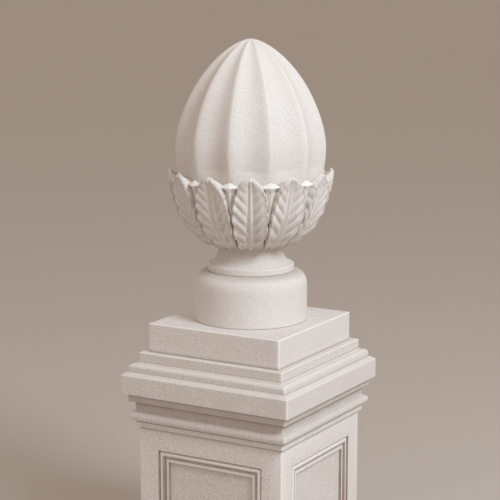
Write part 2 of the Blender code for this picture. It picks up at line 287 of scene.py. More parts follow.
# Studio: the camera's turn is from -Y towards +X, and the key stands towards the camera's right
FLOOR_RADIUS = 80.0
FLOOR_COLOUR = (0.55, 0.50, 0.46, 1.0)
CAMERA_TURN = math.radians(30.340)
CAMERA_LIFT = math.radians(10.277)
CAMERA_LENS = 115.2
CAMERA_SENSOR = 36
CAMERA_DISTANCE = 2.9507
CAMERA_LEFT = 0.00144
LOOK_HEIGHT = 0.6200
KEY_SIZE = 1.5
KEY_ENERGY = 96
KEY_COLOUR = (0.868, 1.0, 1.10)
KEY_DISTANCE = 4.0
KEY_RIGHT = 0.262
KEY_FORWARD = 0.304
KEY_UP = 0.31
FILL_COLOUR = (1.0, 0.865, 0.77, 1.0)
FILL_STRENGTH = 0.59


def new_mesh_object(name, mesh):
    thing = bpy.data.objects.new(name, mesh)
    bpy.context.scene.collection.objects.link(thing)
    return thing


def evaluated_mesh(thing):
    """A plain mesh of what the object's modifiers make."""
    bpy.context.view_layer.update()
    graph = bpy.context.evaluated_depsgraph_get()
    return bpy.data.meshes.new_from_object(thing.evaluated_get(graph))


def bake_modifiers(thing):
    """Turns the object's modifiers into its own mesh."""
    mesh = evaluated_mesh(thing)
    thing.modifiers.clear()
    thing.data = mesh


def arc(centre, across, upward, start, end, points):
    """Points on an ellipse about centre, from one angle to another in degrees, both ends included."""
    angles = [math.radians(start + (end - start) * i / (points - 1)) for i in range(points)]
    return [(centre[0] + across * math.cos(a), centre[1] + upward * math.sin(a)) for a in angles]


def softened(outline, radius, support=2.0, turn_limit=24.0):
    """Rounds each sharp corner of an outline, with a plain point a little way off on either side."""
    points = [Vector(p) for p in outline]
    result = [points[0]]
    for before, corner, after in zip(points, points[1:], points[2:]):
        back, ahead = before - corner, after - corner
        turn = 180 - math.degrees(back.angle(ahead, math.pi))
        if turn < turn_limit:
            result.append(corner)
            continue
        room = min(back.length, ahead.length) * CORNER_ROOM_SHARE
        reach = min(radius, room)
        start = corner + back.normalized() * reach
        end = corner + ahead.normalized() * reach
        if back.length > reach * (1 + support) * 2:
            result.append(corner + back.normalized() * reach * (1 + support))
        for i in range(CORNER_POINTS):
            t = i / (CORNER_POINTS - 1)
            result.append(start * (1 - t) ** 2 + corner * 2 * t * (1 - t) + end * t**2)
        if ahead.length > reach * (1 + support) * 2:
            result.append(corner + ahead.normalized() * reach * (1 + support))
    result.append(points[-1])
    return [(p.x, p.y) for p in result]


def ring_body(name, rings, top, bottom):
    """A closed body from rings of equally many points, top ring first, with a point in each end."""
    count = len(rings[0])
    verts = [p for ring in rings for p in ring] + [top, bottom]
    faces = []
    for i in range(len(rings) - 1):
        for j in range(count):
            a, b = i * count + j, i * count + (j + 1) % count
            faces.append((a, a + count, b + count, b))
    last = (len(rings) - 1) * count
    for j in range(count):
        k = (j + 1) % count
        faces.append((len(verts) - 2, j, k))
        faces.append((len(verts) - 1, last + k, last + j))
    mesh = bpy.data.meshes.new(name)
    mesh.from_pydata(verts, [], faces)
    face_outwards(mesh)
    return mesh


def face_outwards(mesh):
    form = bmesh.new()
    form.from_mesh(mesh)
    bmesh.ops.recalc_face_normals(form, faces=form.faces)
    form.to_mesh(mesh)
    form.free()


def square_ring(half, height, corner=CORNER):
    """One ring of a square moulding, with rounded corners and a plain point beside each."""
    inner = half - corner
    plain = inner - CORNER_SUPPORT * corner
    angles = (0, math.pi / 6, math.pi / 3, math.pi / 2)
    quarter = [(half, plain)]
    quarter += [(inner + corner * math.cos(a), inner + corner * math.sin(a)) for a in angles]
    quarter.append((plain, half))
    ring = []
    for side in range(4):
        turn = Matrix.Rotation(side * math.pi / 2, 2)
        ring += [(*(turn @ Vector(p)), height) for p in quarter]
    return ring


def round_ring(radius, height, steps):
    angles = [math.tau * i / steps for i in range(steps)]
    return [(radius * math.cos(a), radius * math.sin(a), height) for a in angles]


def square_body(name, outline, base):
    """A square moulding swept from (half width, height) points, from the top down."""
    rings = [square_ring(half, base + z) for half, z in outline]
    return ring_body(name, rings, (0, 0, base + outline[0][1]), (0, 0, base + outline[-1][1]))


def turned_body(name, outline, base, steps=144):
    """A turned shape from (radius, height) points, from the top down."""
    rings = [round_ring(radius, base + z, steps) for radius, z in outline]
    return ring_body(name, rings, (0, 0, base + outline[0][1]), (0, 0, base + outline[-1][1]))


def read_floats(items, name):
    """A number of each mesh item, or three for its place or normal, as an array."""
    length = 3 if name in ("co", "normal") else 1
    values = np.empty(len(items) * length)
    items.foreach_get(name, values)
    return values.reshape(-1, length) if length > 1 else values


def write_attribute(mesh, name, values):
    layer = mesh.attributes.get(name) or mesh.attributes.new(name, "FLOAT", "POINT")
    layer.data.foreach_set("value", np.asarray(values, dtype=np.float32))


def mark_arrises(mesh, full_turn=30.0, least_turn=9.0):
    """Marks cut arrises as crest, for wear and painted highlight, and inner corners as crevice, for painted
    shade, from the turn between faces.
    """
    form = bmesh.new()
    form.from_mesh(mesh)
    crest = np.zeros(len(form.verts))
    crevice = np.zeros(len(form.verts))
    for edge in form.edges:
        if len(edge.link_faces) != 2:
            continue
        turn = math.degrees(edge.calc_face_angle_signed(0.0))
        mark = crest if turn > 0 else crevice
        strength = min(1.0, max(0.0, (abs(turn) - least_turn) / (full_turn - least_turn)))
        for vert in edge.verts:
            mark[vert.index] = max(mark[vert.index], strength)
    form.free()
    write_attribute(mesh, "crest", crest)
    write_attribute(mesh, "crevice", crevice)


def mark_carving(mesh, depth=0.0011, groove_depth=0.0015, rounds=16):
    """Marks carving as crest where it stands out from its smoothed self, for wear and painted highlight,
    and as crevice where it sinks, for painted shade.
    """
    count = len(mesh.vertices)
    places = read_floats(mesh.vertices, "co")
    normals = read_floats(mesh.vertices, "normal")
    edges = np.empty(len(mesh.edges) * 2, dtype=np.int64)
    mesh.edges.foreach_get("vertices", edges)
    edges = edges.reshape(-1, 2)
    neighbours = np.bincount(edges.ravel(), minlength=count).clip(1)
    smooth = places.copy()
    for _ in range(rounds):
        total = np.zeros_like(smooth)
        for axis in range(3):
            total[:, axis] += np.bincount(edges[:, 0], smooth[edges[:, 1], axis], count)
            total[:, axis] += np.bincount(edges[:, 1], smooth[edges[:, 0], axis], count)
        smooth = (1 - SMOOTHING) * smooth + SMOOTHING * total / neighbours[:, None]
    rise = ((places - smooth) * normals).sum(axis=1)
    write_attribute(mesh, "crest", (rise / depth).clip(0, CREST_LIMIT))
    write_attribute(mesh, "crevice", (-rise / groove_depth).clip(0, 1))


def paint_shade_by_height(mesh, base, painted_shade):
    """Adds painted shade by height to the crevice mark, from (level, painted shade) pairs above base."""
    levels = [base + level for level, _ in painted_shade]
    height = read_floats(mesh.vertices, "co")[:, 2]
    height_shade = np.interp(height, levels, [share for _, share in painted_shade])
    crevice = read_floats(mesh.attributes["crevice"].data, "value")
    write_attribute(mesh, "crevice", np.maximum(crevice, height_shade))


def shade(mesh, sharp_angle=SHARP_ANGLE):
    mesh.shade_smooth()
    mesh.set_sharp_from_angle(angle=math.radians(sharp_angle))


def cap_outline():
    """The cap from its top down."""
    return [
        (UPPER_STEP_HALF, CAP_HEIGHT),
        (UPPER_STEP_HALF, OGEE_TOP),
        *ogee((UPPER_STEP_HALF, OGEE_TOP), (LOWER_STEP_HALF, LOWER_STEP_TOP)),
        (LOWER_STEP_HALF, SPLAY_TOP),
        (SLAB_HALF, SLAB_TOP),
        (SLAB_HALF, TOP_FILLET_TOP),
        (TOP_FILLET_HALF, TOP_FILLET_TOP),
        (TOP_FILLET_HALF, FRIEZE_TOP),
        (BED_HALF, FRIEZE_TOP),
        (BED_HALF, TORUS_TOP + TORUS_SUPPORT),
        *arc((BED_HALF, (QUIRK_TOP + TORUS_TOP) / 2), TORUS_RADIUS, TORUS_RADIUS, 84, -86, 18),
        (BED_HALF - QUIRK_IN, QUIRK_TOP),
        (BED_HALF - QUIRK_IN, BED_FILLET_TOP),
        (BED_HALF, BED_FILLET_TOP),
        (BED_HALF, 0),
    ]


def ogee(top, bottom, points=12):
    """A hollow that rolls over into a round nose, between the two steps, without its top end."""
    run, drop = bottom[0] - top[0], top[1] - bottom[1]
    shares = [i / (points - 1) for i in range(1, points)]
    falls = [drop * (t + OGEE_SWELL_SHARE * math.sin(math.tau * t)) for t in shares]
    return [(top[0] + run * t, top[1] - fall) for t, fall in zip(shares, falls)]


def closed_outline(outline, inner):
    """Adds the flat top and underside, so that their arrises are softened with the rest."""
    return [(inner, outline[0][1]), *outline, (inner, outline[-1][1])]


def moulded_cap():
    outline = softened(closed_outline(cap_outline(), CAP_FLAT_HALF), ARRIS)
    mesh = square_body("cap", outline, CAP_BASE)
    mark_arrises(mesh)
    paint_shade_by_height(mesh, CAP_BASE, CAP_PAINTED_SHADE)
    shade(mesh)
    return new_mesh_object("moulded_cap", mesh)


def plinth_block():
    outline = [(PLINTH_HALF, PLINTH_HEIGHT), (PLINTH_HALF, 0)]
    outline = softened(closed_outline(outline, PLINTH_FLAT_HALF), PLINTH_ARRIS)
    mesh = square_body("plinth", outline, PLINTH_BASE)
    mark_arrises(mesh)
    paint_shade_by_height(mesh, PLINTH_BASE, PLINTH_PAINTED_SHADE)
    shade(mesh)
    return new_mesh_object("plinth_block", mesh)


def panel_profile():
    """The panel's moulding as (distance in from the die's edge, depth below its face)."""
    quirk = STILE_WIDTH + WALL_RUN
    bead = quirk + QUIRK_WIDTH + WALL_RUN
    groove = bead + BEAD_WIDTH + WALL_RUN
    lip = groove + GROOVE_WIDTH + WALL_RUN
    panel = lip + LIP_WIDTH + WALL_RUN
    return [
        (CORNER, 0),
        (STILE_WIDTH, 0),
        (quirk, QUIRK_DEPTH),
        (quirk + QUIRK_WIDTH, QUIRK_DEPTH),
        *arc((bead + BEAD_WIDTH / 2, BEAD_EDGE_DEPTH), BEAD_WIDTH / 2, -BEAD_RISE, 180, 0, 13),
        (groove, GROOVE_DEPTH),
        (groove + GROOVE_WIDTH, GROOVE_DEPTH),
        (lip, LIP_DEPTH),
        (lip + LIP_WIDTH, LIP_DEPTH),
        (panel, PANEL_DEPTH),
        (panel + PANEL_SUPPORT, PANEL_DEPTH),
    ]


def post_head():
    """The die with a moulded, sunk panel in each side."""
    mesh = bpy.data.meshes.new("post")
    form = bmesh.new()
    bmesh.ops.create_cube(form, size=1.0)
    bmesh.ops.scale(form, vec=(2 * POST_HALF, 2 * POST_HALF, POST_HEIGHT), verts=form.verts)
    bmesh.ops.translate(form, vec=(0, 0, POST_HEIGHT / 2), verts=form.verts)
    bmesh.ops.bevel(form, geom=form.edges[:], offset=CORNER, segments=3, profile=0.5, affect="EDGES")
    sides = [f for f in form.faces if f.calc_area() > LEAST_SIDE_AREA and abs(f.normal.z) < 0.5]
    profile = softened(panel_profile(), PANEL_ARRIS)
    for face in sides:
        for (start, high), (end, low) in zip(profile, profile[1:]):
            bmesh.ops.inset_region(
                form, faces=[face], thickness=end - start, depth=high - low, use_even_offset=True
            )
    form.to_mesh(mesh)
    form.free()
    mark_arrises(mesh)
    # Painted shade on the face of each sunk panel, as its recess is in shade
    crevice = mesh.attributes["crevice"].data
    for vert in mesh.vertices:
        sunk = POST_HALF - max(abs(vert.co.x), abs(vert.co.y))
        if sunk > 0.99 * PANEL_DEPTH and STILE_WIDTH < vert.co.z < POST_HEIGHT - STILE_WIDTH:
            crevice[vert.index].value = max(crevice[vert.index].value, PANEL_PAINTED_SHADE)
    shade(mesh)
    return new_mesh_object("panelled_post", mesh)


def full_arc(centre, across, upward, fullness, points):
    """Points on a quarter ellipse from its top to its side, swelled out where fullness is above 2."""
    angles = [math.pi / 2 * (1 - i / (points - 1)) for i in range(points)]
    ends = [(max(0.0, math.cos(a)) ** (2 / fullness), math.sin(a) ** (2 / fullness)) for a in angles]
    return [(centre[0] + across * c, centre[1] + upward * s) for c, s in ends]


def turned_foot():
    """Neck, rim, shoulder and drum, turned from one outline."""
    inner = RIM_RADIUS - SHOULDER_TUCK
    run = RIM_RADIUS - SCOTIA_LIP - NECK_RADIUS
    rise = SHOULDER_TOP - DRUM_TOP
    outline = [
        (NECK_RADIUS - NECK_FLAT_WIDTH, NECK_TOP + NECK_BURIED),
        (NECK_RADIUS, NECK_TOP + NECK_BURIED),
        (NECK_RADIUS, NECK_TOP),
        *arc((NECK_RADIUS + run, SCOTIA_TOP), -run, SCOTIA_TOP - RIM_TOP, 0, -90, 22),
        (RIM_RADIUS, RIM_TOP - RIM_TOP_ROUND),
        (RIM_RADIUS, SHOULDER_TOP + RIM_FOOT_ROUND),
        *full_arc((inner, DRUM_TOP), DRUM_RADIUS - inner, rise, SHOULDER_FULLNESS, 20),
        (DRUM_RADIUS, DRUM_TOP - DRUM_SUPPORT),
        (DRUM_RADIUS, 0),
        (DRUM_RADIUS - DRUM_FLAT_WIDTH, 0),
    ]
    mesh = turned_body("foot", softened(outline, FOOT_ARRIS), FINIAL_BASE)
    mark_arrises(mesh, full_turn=26.0)
    paint_shade_by_height(mesh, FINIAL_BASE, FOOT_PAINTED_SHADE)
    shade(mesh)
    return new_mesh_object("turned_foot", mesh)


def calyx_line(share, stand_off, tip_rise, flare):
    """Radius and height at shares of a leaf's length: up the cup's curve, then straight up.

    It flares outwards from LEAF_FLARE_SHARE on.
    """
    low = LEAF_FOOT_ANGLE - math.acos(NECK_RADIUS / CUP_RADIUS)
    angle = low * (1 - np.minimum(share, LEAF_BEND_SHARE) / LEAF_BEND_SHARE)
    over = np.maximum(share - LEAF_BEND_SHARE, 0) / (1 - LEAF_BEND_SHARE)
    flaring = np.maximum(share - LEAF_FLARE_SHARE, 0) / (1 - LEAF_FLARE_SHARE)
    radius = (CUP_RADIUS + stand_off) * np.cos(angle) + flare * flaring**2
    height = CUP_EDGE + (CUP_DEPTH + stand_off) * np.sin(angle) + tip_rise * over
    return radius, height


def calyx_path(share, stand_off, tip_rise, flare, step=0.01):
    """The line of a leaf and its outward directions, as radius and height."""
    radius, height = calyx_line(share, stand_off, tip_rise, flare)
    low_radius, low_height = calyx_line(share - step, stand_off, tip_rise, flare)
    top_radius, top_height = calyx_line(share + step, stand_off, tip_rise, flare)
    out_radius, out_height = top_height - low_height, low_radius - top_radius
    length = np.hypot(out_radius, out_height)
    return radius, height, out_radius / length, out_height / length


def leaf_spread(share):
    """Half the angle that a large leaf covers: a narrow foot, full sides, then a round closing tip."""
    short = 1 - np.clip(share / LEAF_FOOT_SHARE, 0, 1)
    foot = np.sqrt(1 - LEAF_FOOT_NARROWING * short**2)
    over = np.maximum(share - LEAF_WIDEST_SHARE, 0) / (LEAF_CLOSING_SHARE - LEAF_WIDEST_SHARE)
    over = np.minimum(over, 1)
    return LEAF_HALF_ANGLE * foot * (1 - over**2) ** LEAF_ARCH_POWER


def large_leaf_points(across, up, inner):
    """Places of a large leaf over +X: a round rib, swelling cheeks and lobes between cut veins."""
    side = np.abs(across)
    share = up + VEIN_SLANT_SHARE * side * np.sqrt(up) * (1 - up)
    radius, height, out_r, out_z = calyx_path(share, LEAF_STAND_OFF, LEAF_TIP_RISE, LEAF_FLARE)
    beat = (up * LEAF_LOBES + 0.5) % 1.0 - 0.5
    lobe = 1 - (2 * np.abs(beat)) ** LOBE_POWER
    lively = np.clip((1 - up) / PLAIN_TIP_SHARE, 0, 1)
    lobe = LOBE_MEAN + (lobe - LOBE_MEAN) * lively
    spread = leaf_spread(share) * (1 + LOBE_SCALLOP_SHARE * (lobe - LOBE_MEAN) * side**3)
    turn = np.sign(across) * side * spread
    half_width = spread * radius
    off_rib = side * half_width

    rib_half = RIB_FOOT_HALF + (RIB_TIP_HALF - RIB_FOOT_HALF) * up
    rib_height = RIB_TIP_SHARE + RIB_FALL_SHARE * (1 - up)
    rib = RIB_HEIGHT * np.sqrt(np.clip(1 - (off_rib / rib_half) ** 2, 0, 1)) * rib_height
    rib = rib - RIB_GROOVE * np.exp(-(((off_rib - rib_half) / RIB_GROOVE_RUN) ** 2))
    clear = np.clip((off_rib - rib_half) / RIB_CLEARANCE, 0, 1)
    fullness = np.clip(half_width / LEAF_FULL_HALF_WIDTH, 0, 1)
    cheek = CHEEK_HEIGHT * np.sin(CHEEK_TURN * np.clip(side, 0, 1)) * (1 - CHEEK_FALL_SHARE * up) * fullness
    relief = LOBE_HEIGHT * lobe * clear * np.clip(side * LOBE_RAMP, 0, 1) * fullness

    ahead = leaf_spread(share + LEAF_LOOK_AHEAD) * radius
    slope = (half_width - ahead) / (LEAF_LOOK_AHEAD * LEAF_RUN)
    to_edge = (1 - side) * half_width / np.sqrt(1 + slope**2)
    at_tip = np.clip((up - TIP_ROUND_FROM_SHARE) / TIP_ROUND_RUN_SHARE, 0, 1)
    round_over = EDGE_ROUND + (TIP_ROUND - EDGE_ROUND) * at_tip
    near_edge = 1 - np.clip(to_edge / round_over, 0, 1)
    roll = round_over * (1 - np.sqrt(1 - near_edge**2))
    lip_fade = np.clip((EDGE_LIP_END_SHARE - up) / EDGE_LIP_FADE_SHARE, 0, 1)
    lip = EDGE_LIP * np.exp(-(((to_edge - round_over) / EDGE_LIP_RUN) ** 2)) * lip_fade
    depth = rib * (1 - near_edge) + cheek + relief + lip - roll

    free = np.clip((up - FREE_FROM_SHARE) / FREE_RUN_SHARE, 0, 1) ** FREE_POWER
    back = -(LEAF_STAND_OFF + LEAF_ROOT) * (1 - free) + (cheek + relief - LEAF_TIP_THICKNESS) * free
    depth = np.where(inner, back, depth)
    radius = radius + out_r * depth
    height = height + out_z * depth
    return np.stack([radius * np.cos(turn), radius * np.sin(turn), FINIAL_BASE + height], axis=-1)


def bract_points(across, up, inner):
    """Places of a bract over +X: a keel, hollow flanks, and a wide end that slopes up to a peak."""
    side = np.abs(across)
    share = BRACT_FOOT_SHARE + (1 - BRACT_FOOT_SHARE) * up
    radius, height, out_r, out_z = calyx_path(share, BRACT_STAND_OFF, BRACT_TIP_RISE, BRACT_FLARE)
    widening = BRACT_FOOT_WIDTH + BRACT_TAPER * up + BRACT_SPREAD * up**6
    turn = across * BRACT_PITCH_SHARE * LEAF_PITCH * widening
    level = np.clip((up - BRACT_LEVEL_FROM_SHARE) / BRACT_LEVEL_RUN_SHARE, 0, 1)
    out_z = out_z * (1 - level)
    keel_rise = BRACT_KEEL_FOOT_SHARE + (1 - BRACT_KEEL_FOOT_SHARE) * up
    front = BRACT_KEEL * (1 - side) ** BRACT_KEEL_POWER * keel_rise + BRACT_TIP_SWELL * up**3
    back = -(BRACT_STAND_OFF + BRACT_ROOT) * (1 - BRACT_SIDE_THINNING * side * up**8)
    depth = np.where(inner, back, front)
    crown = inner & (up > 0.999)
    rise = BRACT_PEAK_RISE * (1 - side)
    crown_radius = BRACT_PEAK_RADIUS + (radius - BRACT_CROWN_IN - BRACT_PEAK_RADIUS) * side
    dip = BRACT_CORNER_DIP * (1 - side) * up**6
    height = np.where(crown, height + rise, height + out_z * depth - dip)
    radius = np.where(crown, crown_radius, radius + out_r * depth)
    return np.stack([radius * np.cos(turn), radius * np.sin(turn), FINIAL_BASE + height], axis=-1)


def leaf_block(name, shape, across, up, edge_round):
    """A closed leaf: its carved face, its back and its rounded sides, on the given columns and rows."""
    columns, rows = len(across), len(up)
    grid_across, grid_up = np.meshgrid(across, up)
    front = shape(grid_across, grid_up, np.zeros(grid_up.shape, dtype=bool)).reshape(-1, 3)
    back = shape(grid_across, grid_up, np.ones(grid_up.shape, dtype=bool)).reshape(-1, 3)
    size = columns * rows
    faces = []
    for j in range(rows - 1):
        for i in range(columns - 1):
            a = j * columns + i
            faces.append((a, a + 1, a + 1 + columns, a + columns))
            faces.append((size + a, size + a + columns, size + a + 1 + columns, size + a + 1))
    rim = [(i, i + columns) for i in range(columns)]
    rim += [((j + 1) * columns - 1, (j + 1) * columns - 2) for j in range(1, rows)]
    rim += [(rows * columns - 1 - i, rows * columns - 1 - i - columns) for i in range(1, columns)]
    rim += [(j * columns, j * columns + 1) for j in range(rows - 2, 0, -1)]
    edge = np.array([a for a, _ in rim])
    inside = np.array([b for _, b in rim])
    outward = front[edge] - front[inside]
    outward /= np.linalg.norm(outward, axis=1, keepdims=True).clip(1e-9)
    thickness = np.linalg.norm(front[edge] - back[edge], axis=1, keepdims=True)
    belly = outward * np.minimum(thickness * SIDE_BELLY_SHARE, edge_round)
    loops = [edge]
    places = [front, back]
    for step, share in enumerate(SIDE_LOOP_SHARES):
        places.append(front[edge] * (1 - share) + back[edge] * share + belly)
        loops.append(np.arange(len(edge)) + 2 * size + step * len(edge))
    loops.append(edge + size)
    for upper, lower in zip(loops, loops[1:]):
        for a, b, c, d in zip(upper, lower, np.roll(lower, -1), np.roll(upper, -1)):
            faces.append((int(a), int(b), int(c), int(d)))
    mesh = bpy.data.meshes.new(name)
    mesh.from_pydata(np.concatenate(places).tolist(), [], faces)
    face_outwards(mesh)
    return mesh


def node_tree(name, inputs, outputs, kind="ShaderNodeTree"):
    """An empty node tree with named sockets: inputs as (name, type, value), outputs as (name, type)."""
    tree = bpy.data.node_groups.new(name, kind)
    for label, socket_type, value in inputs:
        socket = tree.interface.new_socket(label, in_out="INPUT", socket_type=socket_type)
        if value is not None:
            socket.default_value = value
    for label, socket_type in outputs:
        tree.interface.new_socket(label, in_out="OUTPUT", socket_type=socket_type)
    return tree


class Sums:
    """Writes sums as Math nodes in a node tree."""

    def __init__(self, tree):
        self.tree = tree

    def __call__(self, operation, *terms):
        node = self.tree.nodes.new("ShaderNodeMath")
        node.operation = operation
        for socket, term in zip(node.inputs, terms):
            if isinstance(term, (int, float)):
                socket.default_value = term
            else:
                self.tree.links.new(term, socket)
        return node.outputs[0]


def ring_tree():
    """Copies the object's own mesh round the Z axis."""
    tree = node_tree(
        "ring of leaves",
        [
            ("Leaf", SOLID, None),
            ("Count", COUNT, None),
            ("First Turn", NUMBER, None),
            ("Material", FINISH, None),
        ],
        [("Ring", SOLID)],
        kind="GeometryNodeTree",
    )
    nodes, links = tree.nodes, tree.links
    given = nodes.new("NodeGroupInput")
    made = nodes.new("NodeGroupOutput")
    points = nodes.new("GeometryNodePoints")
    index = nodes.new("GeometryNodeInputIndex")
    sums = Sums(tree)
    pitch = sums("DIVIDE", math.tau, given.outputs["Count"])
    turn = sums("MULTIPLY_ADD", index.outputs[0], pitch, given.outputs["First Turn"])
    spin = nodes.new("ShaderNodeCombineXYZ")
    copies = nodes.new("GeometryNodeInstanceOnPoints")
    real = nodes.new("GeometryNodeRealizeInstances")
    finish = nodes.new("GeometryNodeSetMaterial")
    links.new(given.outputs["Count"], points.inputs["Count"])
    links.new(turn, spin.inputs["Z"])
    links.new(points.outputs[0], copies.inputs["Points"])
    links.new(given.outputs["Leaf"], copies.inputs["Instance"])
    links.new(spin.outputs[0], copies.inputs["Rotation"])
    links.new(copies.outputs[0], real.inputs[0])
    links.new(real.outputs[0], finish.inputs["Geometry"])
    links.new(given.outputs["Material"], finish.inputs["Material"])
    links.new(finish.outputs[0], made.inputs[0])
    return tree


def set_inputs(modifier, values):
    """Sets a tree's named inputs by their identifiers."""
    for item in modifier.node_group.interface.items_tree:
        if item.item_type == "SOCKET" and item.in_out == "INPUT" and item.name in values:
            modifier[item.identifier] = values[item.name]


def leaf_ring(name, block, tree, first_turn, material):
    ring = new_mesh_object(name, block)
    modifier = ring.modifiers.new("Ring", "NODES")
    modifier.node_group = tree
    set_inputs(modifier, {"Count": LEAF_COUNT, "First Turn": first_turn, "Material": material})
    bake_modifiers(ring)
    return ring


def cup_core():
    """The plain cup that the leaves grow on."""
    neck = -math.degrees(math.acos(NECK_RADIUS / CUP_RADIUS))
    buried = CUP_EDGE + CORE_BURIED
    outline = [(CUP_RADIUS - CORE_FLAT_WIDTH, buried), (CUP_RADIUS, buried)]
    outline += arc((0, CUP_EDGE), CUP_RADIUS + CORE_SWELL, CUP_DEPTH + CORE_SWELL, -3, neck, 40)
    outline.append((NECK_RADIUS - CORE_FLAT_WIDTH, NECK_TOP))
    return turned_body("cup core", outline, FINIAL_BASE, steps=180)


def leaf_cup(material):
    """The cup with its two rings of leaves fused on. The rings graze the cup, hence the solver."""
    tree = ring_tree()
    half = np.array(LEAF_COLUMNS)
    across = np.concatenate([-half[:0:-1], half])
    large = leaf_block("large leaf", large_leaf_points, across, np.array(LEAF_ROWS), LEAF_SIDE_BELLY)
    across, up = np.linspace(-1, 1, BRACT_COLUMNS), np.linspace(0, 1, BRACT_ROWS)
    slender = leaf_block("bract", bract_points, across, up, 0.0)
    cup = new_mesh_object("leaf_cup", cup_core())
    rings = [
        leaf_ring("bracts", slender, tree, LEAF_PITCH / 2, material),
        leaf_ring("large leaves", large, tree, 0.0, material),
    ]
    for ring in rings:
        fuse = cup.modifiers.new(ring.name, "BOOLEAN")
        fuse.operation = "UNION"
        fuse.solver = "MANIFOLD"
        fuse.object = ring
    bake_modifiers(cup)
    for ring in rings:
        bpy.data.objects.remove(ring)
    mark_carving(cup.data)
    shade(cup.data, LEAF_SHARP_ANGLE)
    return cup


def bud_tree():
    """A fluted egg: a grid wrapped round the Z axis, with hollow flutes between sharp ridges."""
    sizes = ("Ridge Radius", "Foot Radius", "Rise", "Drop", "Waist Height", "Flute Depth")
    forms = ("Height Power", "Radius Power", "Ridge Softness")
    inputs = [(label, NUMBER, None) for label in sizes + forms]
    inputs += [(label, COUNT, None) for label in ("Flutes", "Columns", "Rows")]
    inputs.append(("Material", FINISH, None))
    tree = node_tree("fluted bud", inputs, [("Bud", SOLID)], kind="GeometryNodeTree")
    nodes, links = tree.nodes, tree.links
    given = nodes.new("NodeGroupInput").outputs
    sums = Sums(tree)
    grid = nodes.new("GeometryNodeMeshGrid")
    grid.inputs["Size X"].default_value = 1.0
    grid.inputs["Size Y"].default_value = 1.0
    spans = sums("MULTIPLY", given["Columns"], given["Flutes"])
    links.new(sums("ADD", spans, 1.0), grid.inputs["Vertices X"])
    links.new(given["Rows"], grid.inputs["Vertices Y"])
    place = nodes.new("GeometryNodeInputPosition")
    split = nodes.new("ShaderNodeSeparateXYZ")
    links.new(place.outputs[0], split.inputs[0])
    round_share = sums("ADD", split.outputs["X"], 0.5)
    row_share = sums("ADD", split.outputs["Y"], 0.5)
    low_rows = BUD_LOW_ROWS_SHARE
    climb = sums("MAXIMUM", sums("DIVIDE", sums("SUBTRACT", row_share, low_rows), 1 - low_rows), 0.0)
    rise_share = sums("SINE", sums("MULTIPLY", climb, math.pi / 2))
    below = sums("MAXIMUM", sums("SUBTRACT", 1.0, sums("DIVIDE", row_share, low_rows)), 0.0)
    climbed = sums("MULTIPLY", rise_share, given["Rise"])
    height = sums("SUBTRACT", climbed, sums("MULTIPLY", below, given["Drop"]))
    closing = sums("SUBTRACT", 1.0, sums("POWER", rise_share, given["Height Power"]))
    closing = sums("POWER", sums("MAXIMUM", closing, 0.0), sums("DIVIDE", 1.0, given["Radius Power"]))
    narrowing = sums("SUBTRACT", given["Ridge Radius"], given["Foot Radius"])
    narrowing = sums("MULTIPLY", narrowing, sums("POWER", below, 2.0))
    radius = sums("SUBTRACT", sums("MULTIPLY", given["Ridge Radius"], closing), narrowing)
    phase = sums("FRACT", sums("ADD", sums("MULTIPLY", round_share, given["Flutes"]), 0.5))
    off_middle = sums("MULTIPLY", sums("SUBTRACT", phase, 0.5), 2.0)
    off_ridge = sums("SUBTRACT", 1.0, sums("ABSOLUTE", off_middle))
    soft = given["Ridge Softness"]
    soft_square = sums("MULTIPLY", soft, soft)
    widest = sums("SQRT", sums("ADD", 1.0, soft_square))
    softened_off = sums("SQRT", sums("MULTIPLY_ADD", off_ridge, off_ridge, soft_square))
    eased = sums("SUBTRACT", widest, softened_off)
    eased = sums("DIVIDE", eased, sums("SUBTRACT", widest, soft))
    hollow = sums("SUBTRACT", 1.0, sums("POWER", eased, 2.0))
    fade = sums("SUBTRACT", 1.0, sums("MAXIMUM", sums("MULTIPLY_ADD", below, 2.0, -1.0), 0.0))
    slim = sums("POWER", closing, FLUTE_FADE_POWER)
    sink = sums("MULTIPLY", given["Flute Depth"], hollow)
    sink = sums("MULTIPLY", sink, sums("MULTIPLY", fade, slim))
    sunk = sums("MAXIMUM", sums("SUBTRACT", radius, sink), 0.0)
    floor_row = sums("GREATER_THAN", row_share, 0.0001)
    sunk = sums("MULTIPLY", sunk, floor_row)
    turn = sums("MULTIPLY", round_share, math.tau)
    wrap = nodes.new("ShaderNodeCombineXYZ")
    links.new(sums("MULTIPLY", sunk, sums("COSINE", turn)), wrap.inputs["X"])
    links.new(sums("MULTIPLY", sunk, sums("SINE", turn)), wrap.inputs["Y"])
    links.new(sums("ADD", height, given["Waist Height"]), wrap.inputs["Z"])
    # Crest marks along the ridges make paler lines: wear and painted highlight
    mark = nodes.new("GeometryNodeStoreNamedAttribute")
    mark.data_type = "FLOAT"
    mark.domain = "POINT"
    mark.inputs["Name"].default_value = "crest"
    ridge = sums("SUBTRACT", 1.0, sums("MINIMUM", sums("DIVIDE", off_ridge, RIDGE_MARK_SHARE), 1.0))
    links.new(grid.outputs["Mesh"], mark.inputs["Geometry"])
    links.new(sums("MULTIPLY", sums("MULTIPLY", ridge, fade), RIDGE_MARK), mark.inputs["Value"])
    move = nodes.new("GeometryNodeSetPosition")
    links.new(mark.outputs[0], move.inputs["Geometry"])
    links.new(wrap.outputs[0], move.inputs["Position"])
    weld = nodes.new("GeometryNodeMergeByDistance")
    weld.inputs["Distance"].default_value = BUD_WELD
    links.new(move.outputs[0], weld.inputs["Geometry"])
    real = nodes.new("GeometryNodeRealizeInstances")
    links.new(weld.outputs[0], real.inputs[0])
    finish = nodes.new("GeometryNodeSetMaterial")
    links.new(real.outputs[0], finish.inputs["Geometry"])
    links.new(given["Material"], finish.inputs["Material"])
    made = nodes.new("NodeGroupOutput")
    links.new(finish.outputs[0], made.inputs[0])
    return tree


